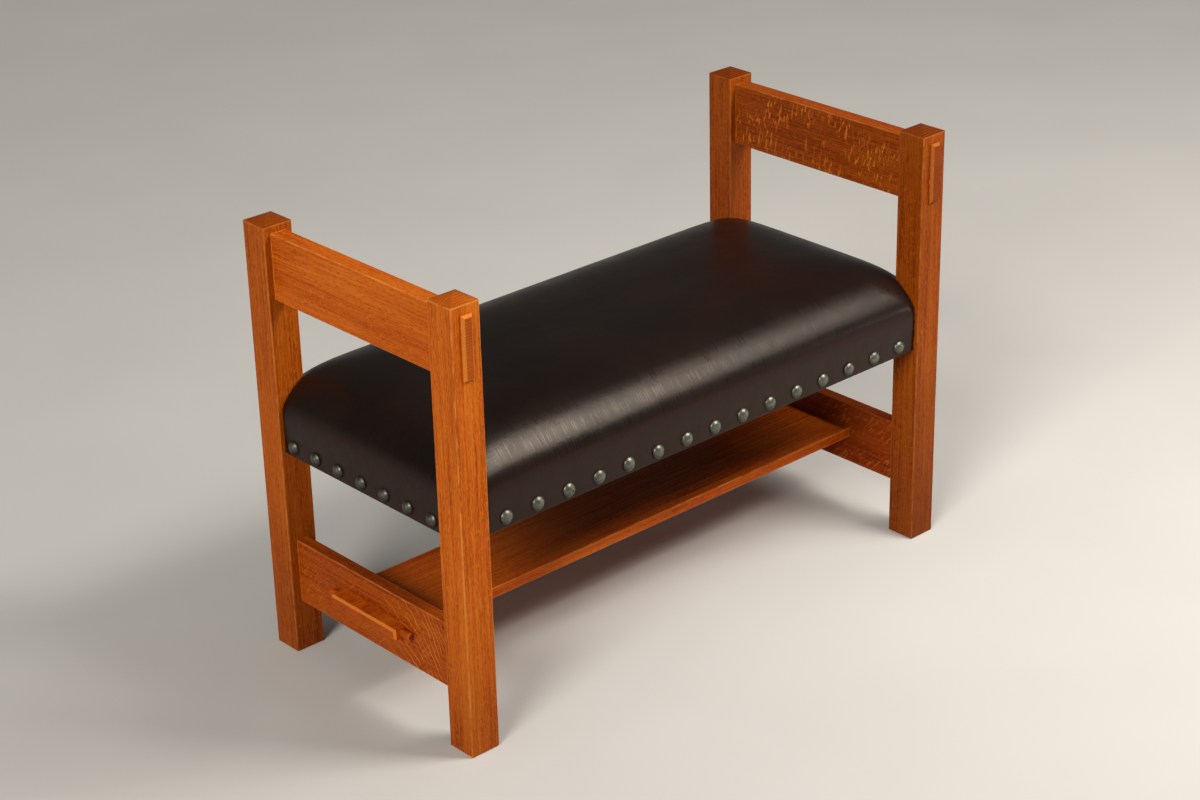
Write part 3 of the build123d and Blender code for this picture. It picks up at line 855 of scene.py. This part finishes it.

# %% [markdown]
# ## The finish of the leather
#
# The hide is a very dark brown, nearly black. Its sides are painted reddish brown, partly the
# hide's
# own colour and partly a painted reflection of a brown floor. A dark surface is known by its gloss:
# what the eye reads is a broad soft light along the shoulder, broken up by a fine pebble grain. So
# the colour stays quiet, and the work goes into roughness and bump, with small cells for the grain,
# shallow folds, and faint streaks where the hide was drawn down over the shoulders.

# %% The leather
def leather():
    """Waxed dark brown hide."""
    finish = Finish("waxed leather", Specular_IOR_Level=0.23, Specular_Tint=(1.0, 0.83, 0.70, 1.0))
    place = finish.axes(finish.place)
    cloudy = finish.clouds(7, 1, detail=3)
    rubbed = finish.clouds(22, 2, detail=3, distortion=0.6)
    pebble = finish.cells(950, 3)
    creases = finish.cells(430, 4, "DISTANCE_TO_EDGE").fade(0.0, 0.16)
    folds = finish.clouds(30, 5, detail=2)
    near_end = abs(place[0]).fade(SEAT_X - 90 * MM, SEAT_X - 40 * MM)
    drawn_down = finish.clouds((620, 22, 30), 6, detail=2)
    drawn_out = finish.clouds((22, 620, 30), 7, detail=2)
    drawn = drawn_down * (1 - near_end) + drawn_out * near_end - 0.5
    upward = finish.axes(finish.facing)[2]
    drawn = drawn * (1 - upward.fade(0.80, 0.98) * 0.8)
    colour = finish.mix(paint(19, 13, 11), paint(26, 15, 12), cloudy.fade(0.35, 0.65))
    colour = finish.mix(colour, paint(22, 15, 13), (1 - creases) * 0.25)
    # The sides are painted reddish brown: partly the hide's colour, partly a painted reflection of
    # a brown floor.
    colour = finish.mix(paint(29, 9, 4), colour, 0.1 + upward.fade(0.15, 0.5) * 0.9)
    roughness = 0.22 + rubbed * 0.16 + pebble * 0.06 + drawn * 0.35
    height = folds * 0.7 - pebble * 0.03 + creases * 0.03 + drawn * 0.03
    return finish.surface(colour, roughness, height, 0.0012, 0.5)


LEATHER = leather()
print("leather made of", len(LEATHER.node_tree.nodes), "nodes")

# %% Make the cover
HIDE = 1.6 * MM

cover_mesh = bmesh.new()
notch_x, notch_y = crowned_cap(cover_mesh, 0.0, COVER_SPACING, SIDE_TOP)
loop = border(cover_mesh)
skirt(cover_mesh, loop, [on_plan(vert.co) for vert in loop], notch_x, notch_y)
cover = add_piece("leather_seat", cover_mesh, LEATHER)
smooth = cover.modifiers.new("rounded", "SUBSURF")
smooth.levels = smooth.render_levels = 1
thicken(cover, HIDE, -1)
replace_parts(cover, "leather_cover")
cover_top = max(vertex.co.z for vertex in cover.data.vertices)
print("cover:", len(cover.data.polygons), "quads, top at", round(cover_top, 4), "m")

# %% [markdown]
# ## The filling
#
# Under the leather lie a thin layer of wadding and a block of foam. Both follow the same crown, set
# in by what lies over them, so the crown's own function makes them, with fewer lines in the grid.
# The wadding is a layer with a thickness, and the foam is closed underneath, where it lies on the
# deck.

# %% Foam and wadding
WADDING_INSET, FOAM_INSET = 3.6 * MM, 8.6 * MM
WADDING_THICKNESS = 4 * MM
DECK_GAP = 0.3 * MM


def soft_stuff(name, colours, size, depth):
    """Something soft and open: cells or fibres of one size."""
    finish = Finish(name)
    open_cells = finish.cells(size, 2)
    drift = finish.clouds(20, 3, detail=3)
    colour = finish.mix(*colours, open_cells * 0.7 + drift * 0.3)
    return finish.surface(colour, 0.85 + open_cells * 0.1, open_cells, depth, 0.8)


def filling(name, inset, bottom, material, closed):
    """A crowned piece set in under the leather, down to a level."""
    mesh = bmesh.new()
    crowned_cap(mesh, inset, FILLING_SPACING, bottom + MM, fine=False)
    loop = border(mesh)
    low = [mesh.verts.new((vert.co.x, vert.co.y, bottom)) for vert in loop]
    wall(mesh, loop, low)
    if closed:
        middle = mesh.verts.new((0, 0, bottom))
        for vert, following in zip(low, low[1:] + low[:1]):
            mesh.faces.new((vert, middle, following))
    return add_piece(name, mesh, material)


yellowish = (paint(206, 190, 140), paint(236, 226, 190))
whitish = (paint(214, 212, 204), paint(244, 243, 238))
foam_finish = soft_stuff("polyether foam", yellowish, 900, 0.0006)
wadding_finish = soft_stuff("cotton wadding", whitish, 260, 0.0012)
bottom = deck_high.z + DECK_GAP
foam = filling("foam_pad", FOAM_INSET, bottom, foam_finish, True)
wadding = filling("wadding_layer", WADDING_INSET, bottom, wadding_finish, False)
thicken(wadding, WADDING_THICKNESS, -1)
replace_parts(foam, "seat_pad")
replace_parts(wadding, "seat_wadding")
print("foam", len(foam.data.polygons), "faces, wadding", len(wadding.data.polygons))

# %% [markdown]
# ## The dust cover
#
# A thin black cloth closes the seat from below. It is cut round the posts and tacked under the
# rails, with small ripples along its edge and a sag in the middle. A grid of quads that follows a
# formula is enough for a cloth that lies nearly flat, so no simulation is spent on it.

# %% The cloth and its weave
cloth_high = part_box("dust_cover")[1]
CLOTH_X, CLOTH_Y = cloth_high.x, cloth_high.y
NOTCH_GAP = 2.5 * MM
CLOTH_NOTCH_X, CLOTH_NOTCH_Y = POST_X - NOTCH_GAP, POST_Y - NOTCH_GAP
THREADS = 5200


def black_cloth():
    """Thin black upholsterer's cloth."""
    finish = Finish("black dust cloth")
    place = finish.axes(finish.place)
    threads_x, threads_y = (abs((axis * THREADS).sine()) for axis in place[:2])
    weave = threads_x.larger(threads_y)
    lint = finish.clouds(60, 4, detail=3)
    colour = finish.mix(paint(16, 16, 17), paint(40, 40, 42), weave * 0.6 + lint * 0.3)
    return finish.surface(colour, 0.8 + lint * 0.15, weave, 0.0001, 0.5)


print("a thread every", in_mm(math.pi / THREADS), "mm")

# %% Make the cloth
CLOTH_THICKNESS, CLOTH_CLEARANCE = 0.5 * MM, 0.05 * MM
CLOTH_SAG, SAG_START, SAG_SPAN = 2.2 * MM, 16 * MM, 120 * MM
RIPPLE, RIPPLE_X, RIPPLE_Y, RIPPLE_REACH = 0.25 * MM, 15 * MM, 14 * MM, 30 * MM


def cloth_height(x, y):
    """The cloth lies flat under the rails and sags between them, with a ripple along its edge."""
    from_edge = min(CLOTH_X - abs(x), CLOTH_Y - abs(y))
    span = min(max(from_edge - SAG_START, 0) / SAG_SPAN, 1)
    ripple = RIPPLE * math.cos(x / RIPPLE_X) * math.cos(y / RIPPLE_Y)
    ripple *= max(1 - from_edge / RIPPLE_REACH, 0)
    return cloth_high.z - CLOTH_CLEARANCE - CLOTH_SAG * span * (2 - span) - abs(ripple)


def spread(limit, notch, count):
    """Places across the cloth, with a line at each notch."""
    inner = [notch * (2 * step / count - 1) for step in range(count + 1)]
    return [-limit, -(limit + notch) / 2, *inner, (limit + notch) / 2, limit]


under = bmesh.new()
xs, ys = spread(CLOTH_X, CLOTH_NOTCH_X, 60), spread(CLOTH_Y, CLOTH_NOTCH_Y, 26)
grid = {}
for i, x in enumerate(xs):
    for j, y in enumerate(ys):
        if abs(x) <= CLOTH_NOTCH_X + TOLERANCE or abs(y) <= CLOTH_NOTCH_Y + TOLERANCE:
            grid[i, j] = under.verts.new((x, y, cloth_height(x, y)))
for i, j in grid:
    corners = [(i, j), (i, j + 1), (i + 1, j + 1), (i + 1, j)]
    if all(corner in grid for corner in corners):
        under.faces.new([grid[corner] for corner in corners])
cloth = add_piece("dust_cloth", under, black_cloth())
thicken(cloth, CLOTH_THICKNESS, 1)
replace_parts(cloth, "dust_cover")
print("dust cloth", round(2 * CLOTH_X, 4), "by", round(2 * CLOTH_Y, 4), "m")

# %% [markdown]
# ## The nails
#
# Each nail is a stamped dome of aged metal, wider than a thumbnail, driven by hand: no two sit
# quite alike. A lathe profile gives the dome, the flat underside and the shank in one mesh. Each
# copy is turned and tilted a little by a seeded random number, so that the row glints unevenly, as
# in real work. The third one in front has a small dent.

# %% The finish of the nails
DENTED = 2
DENT = (3.0, -1.0)
DENT_OUT, DENT_WIDTH, DENT_DEPTH = 5.8, 2.0, 1.2
DENT_PLACE = (
    front_nails[DENTED] + DENT[0] * MM, -SEAT_Y - DENT_OUT * MM, NAIL_LEVEL + DENT[1] * MM
)


def aged_metal():
    """Dark pewter, cloudy and lightly pitted. The dome is darkened towards its rim, partly patina
    and partly painted shade, and its lower half and the end rows are painted darker, as shade. The
    dent is near black.
    """
    finish = Finish("aged pewter nails")
    place, facing = finish.axes(finish.place), finish.axes(finish.facing)
    cloudy = finish.clouds(260, 1, detail=3)
    pits = finish.cells(1500, 2)
    # Painted shade: the lower half of each dome is painted darker.
    low = (NAIL_LEVEL - place[2]).fade(-NAIL_RADIUS * 0.5, NAIL_RADIUS * 0.8)
    on_end = abs(place[0]).fade(SEAT_X - 2 * MM, SEAT_X - MM)
    outward = abs(facing[0]) * on_end + abs(facing[1]) * (1 - on_end)
    # The dome's sides are painted darker towards the rim: partly patina, partly painted shade.
    rim_patina_and_shade = 1 - outward.fade(0.50, 0.99)
    tarnish_and_rim_shade = finish.clouds(70, 3).fade(0.42, 0.62).larger(rim_patina_and_shade)
    from_dent = finish.node(
        "ShaderNodeVectorMath", {"operation": "DISTANCE"}, {0: finish.place, 1: DENT_PLACE}, "Value"
    )
    colour = finish.mix(paint(136, 136, 122), paint(112, 112, 100), cloudy.fade(0.3, 0.7))
    # The end rows are painted darker too, as painted shade.
    for share in (rim_patina_and_shade * 0.6, tarnish_and_rim_shade * 0.08 + low * 0.72, on_end * 0.4):
        colour = finish.mix(colour, paint(26, 25, 21), share)
    # The dent is painted near black.
    colour = finish.mix(paint(14, 13, 12), colour, from_dent.fade(1.4 * MM, 2.6 * MM))
    roughness = 0.31 + cloudy * 0.10 + tarnish_and_rim_shade * 0.06
    height = cloudy * 0.8 + pits * 0.2
    return finish.surface(colour, roughness, height, 0.0002, 0.2, 0.96 - tarnish_and_rim_shade * 0.1)


print("the dented nail stands at x", in_mm(front_nails[DENTED]), "mm")


# %% One nail, then the rows
DOME = (
    (0.0, 6.2), (1.1, 6.16), (2.2, 6.05), (3.3, 5.83), (4.4, 5.5), (6.5, 4.6), (8.2, 3.45),
    (9.5, 2.2), (10.25, 1.2), (10.5, 0.6), (10.4, 0.15), (9.9, 0.0), (1.3, 0.0), (1.3, -14.0),
    (0.0, -16.0),
)
SEGMENTS = 36
TILT = 2.5
WAVE, WAVE_SCALE = 0.08, 0.2
dice = random.Random(11)


def add_nail(mesh, place, outward, dent):
    """Spins the profile at a place, facing outward, with a little turn and tilt of its own."""
    tilt = Matrix.Rotation(math.radians(dice.uniform(-TILT, TILT)), 4, "X")
    tilt @= Matrix.Rotation(math.radians(dice.uniform(-TILT, TILT)), 4, "Y")
    turn = Matrix.Rotation(dice.uniform(0, math.tau), 4, "Z")
    move = Matrix.Translation(place) @ outward.to_track_quat("Z", "Y").to_matrix().to_4x4() @ tilt
    rings = []
    for radius, height in DOME:
        points = []
        for step in range(SEGMENTS if radius else 1):
            angle = math.tau * step / SEGMENTS
            point = Vector((radius * math.cos(angle), radius * math.sin(angle), height))
            if height > 0:
                point.z += WAVE * noise.noise(turn @ point * WAVE_SCALE)
            if height > 0 and dent:
                dip = math.hypot(point.x - dent[0], point.y - dent[1]) / DENT_WIDTH
                point.z -= DENT_DEPTH * math.exp(-dip * dip)
            points.append(mesh.verts.new(move @ (point * MM)))
        rings.append(points)
    for upper, lower in zip(rings, rings[1:]):
        for step in range(SEGMENTS):
            quad = (upper[step % len(upper)], lower[step % len(lower)],
                    lower[(step + 1) % len(lower)], upper[(step + 1) % len(upper)])
            mesh.faces.new(list(dict.fromkeys(quad)))


nail_finish = aged_metal()
for row, outward, places in (
    ("front", Vector((0, -1, 0)), [(x, -SEAT_Y, NAIL_LEVEL) for x in front_nails]),
    ("back", Vector((0, 1, 0)), [(x, SEAT_Y, NAIL_LEVEL) for x in front_nails]),
    ("left", Vector((-1, 0, 0)), [(-SEAT_X, y, NAIL_LEVEL) for y in end_nails]),
    ("right", Vector((1, 0, 0)), [(SEAT_X, y, NAIL_LEVEL) for y in end_nails]),
):
    nail_mesh = bmesh.new()
    for number, place in enumerate(places):
        dent = DENT if (row, number) == ("front", DENTED) else None
        add_nail(nail_mesh, Vector(place), outward, dent)
    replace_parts(add_piece(f"{row}_nails", nail_mesh, nail_finish), f"nails_{row}")
print(2 * FRONT_COUNT + 2 * END_COUNT, "nails")

# %% [markdown]
# ## Floor and light
#
# The floor is plain and pale, so that nothing on it competes with the bench. The main light comes
# from the left, a little in front, as wide and even as daylight through a blind, so a soft sun lamp
# makes it. Two lamps in front, high up and to the right, draw the long highlight along the
# leather's shoulder, two low ones put a glint on the nails, and a wide one overhead fills the
# shadows. The sky is a mid grey near the horizon, where it meets the far floor, and darker above,
# which keeps the dark seat dark.

# %% The floor
def pale_floor():
    """Plain pale floor, with the faintest unevenness."""
    finish = Finish("pale floor")
    drift = finish.clouds(3, 1, detail=3)
    colour = finish.mix(paint(193, 190, 185), paint(201, 198, 193), drift)
    return finish.surface(colour, 0.75 + drift * 0.1, drift, 0.0001, 0.2)


FLOOR_REACH = 30.0
floor_mesh = bpy.data.meshes.new("floor")
corners = [
    (x * FLOOR_REACH, y * FLOOR_REACH, 0) for x, y in ((-1, -1), (1, -1), (1, 1), (-1, 1))
]
floor_mesh.from_pydata(corners, [], [(0, 1, 2, 3)])
floor_mesh.materials.append(pale_floor())
floor = add_object("floor", floor_mesh)
floor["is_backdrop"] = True
print("floor", 2 * FLOOR_REACH, "m across")


# %% The lamps
def lamp(name, kind, place, energy, colour=(1, 1, 1), target=(0, 0, 0.35), **settings):
    """A lamp of a kind that looks at a target."""
    data = bpy.data.lights.new(name, kind)
    data.energy = energy
    data.color = colour
    for setting, value in settings.items():
        setattr(data, setting, value)
    source = add_object(name, data)
    source.location = place
    source.rotation_mode = "QUATERNION"
    source.rotation_quaternion = (Vector(target) - Vector(place)).to_track_quat("-Z", "Y")


WARM = (1, 0.965, 0.91)
lamp("daylight", "SUN", (-2.7, -1.1, 2.2), 2.5, WARM, angle=math.radians(22))
lamp("near shoulder lamp", "AREA", (0.85, -1.42, 2.1), 46, WARM, size=0.75)
lamp(
    "far shoulder lamp", "AREA", (1.95, -1.42, 2.1), 24, WARM, (1.95, 0, 0.35),
    shape="RECTANGLE", size=1.4, size_y=0.4,
)
lamp("top lamp", "AREA", (-0.2, -0.2, 3.4), 18, size=3.0)
lamp("low right lamp", "AREA", (2.3, -1.7, 0.55), 3, size=0.4)
lamp("low left lamp", "AREA", (-2.6, 0.7, 0.45), 3, size=0.4)
print(len(bpy.data.lights), "lamps")


# %% The sky
SKY_PALE, SKY_DARK = 0.05, 0.22
world = bpy.data.worlds.new("studio")
sky = NodeTree(world)
up = sky.axes(sky.node("ShaderNodeTexCoord", output="Generated"))[2]
colour = sky.mix(paint(158, 154, 149), paint(82, 82, 80), up.fade(SKY_PALE, SKY_DARK))
sky.tree.links.new(colour.socket, sky.tree.nodes["Background"].inputs["Color"])
bpy.context.scene.world = world
print("the sky turns dark at", round(math.degrees(math.asin(SKY_DARK))), "degrees up")

# %% [markdown]
# ## The two boxes
#
# The dressed bench has to keep the CAD model's size, so both boxes are printed side by side.

# %% Print the boxes
visual_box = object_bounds()
for name, (low, high) in (("CAD", cad_box), ("visual", visual_box)):
    print(name, [in_mm(side) for side in high - low], "mm")
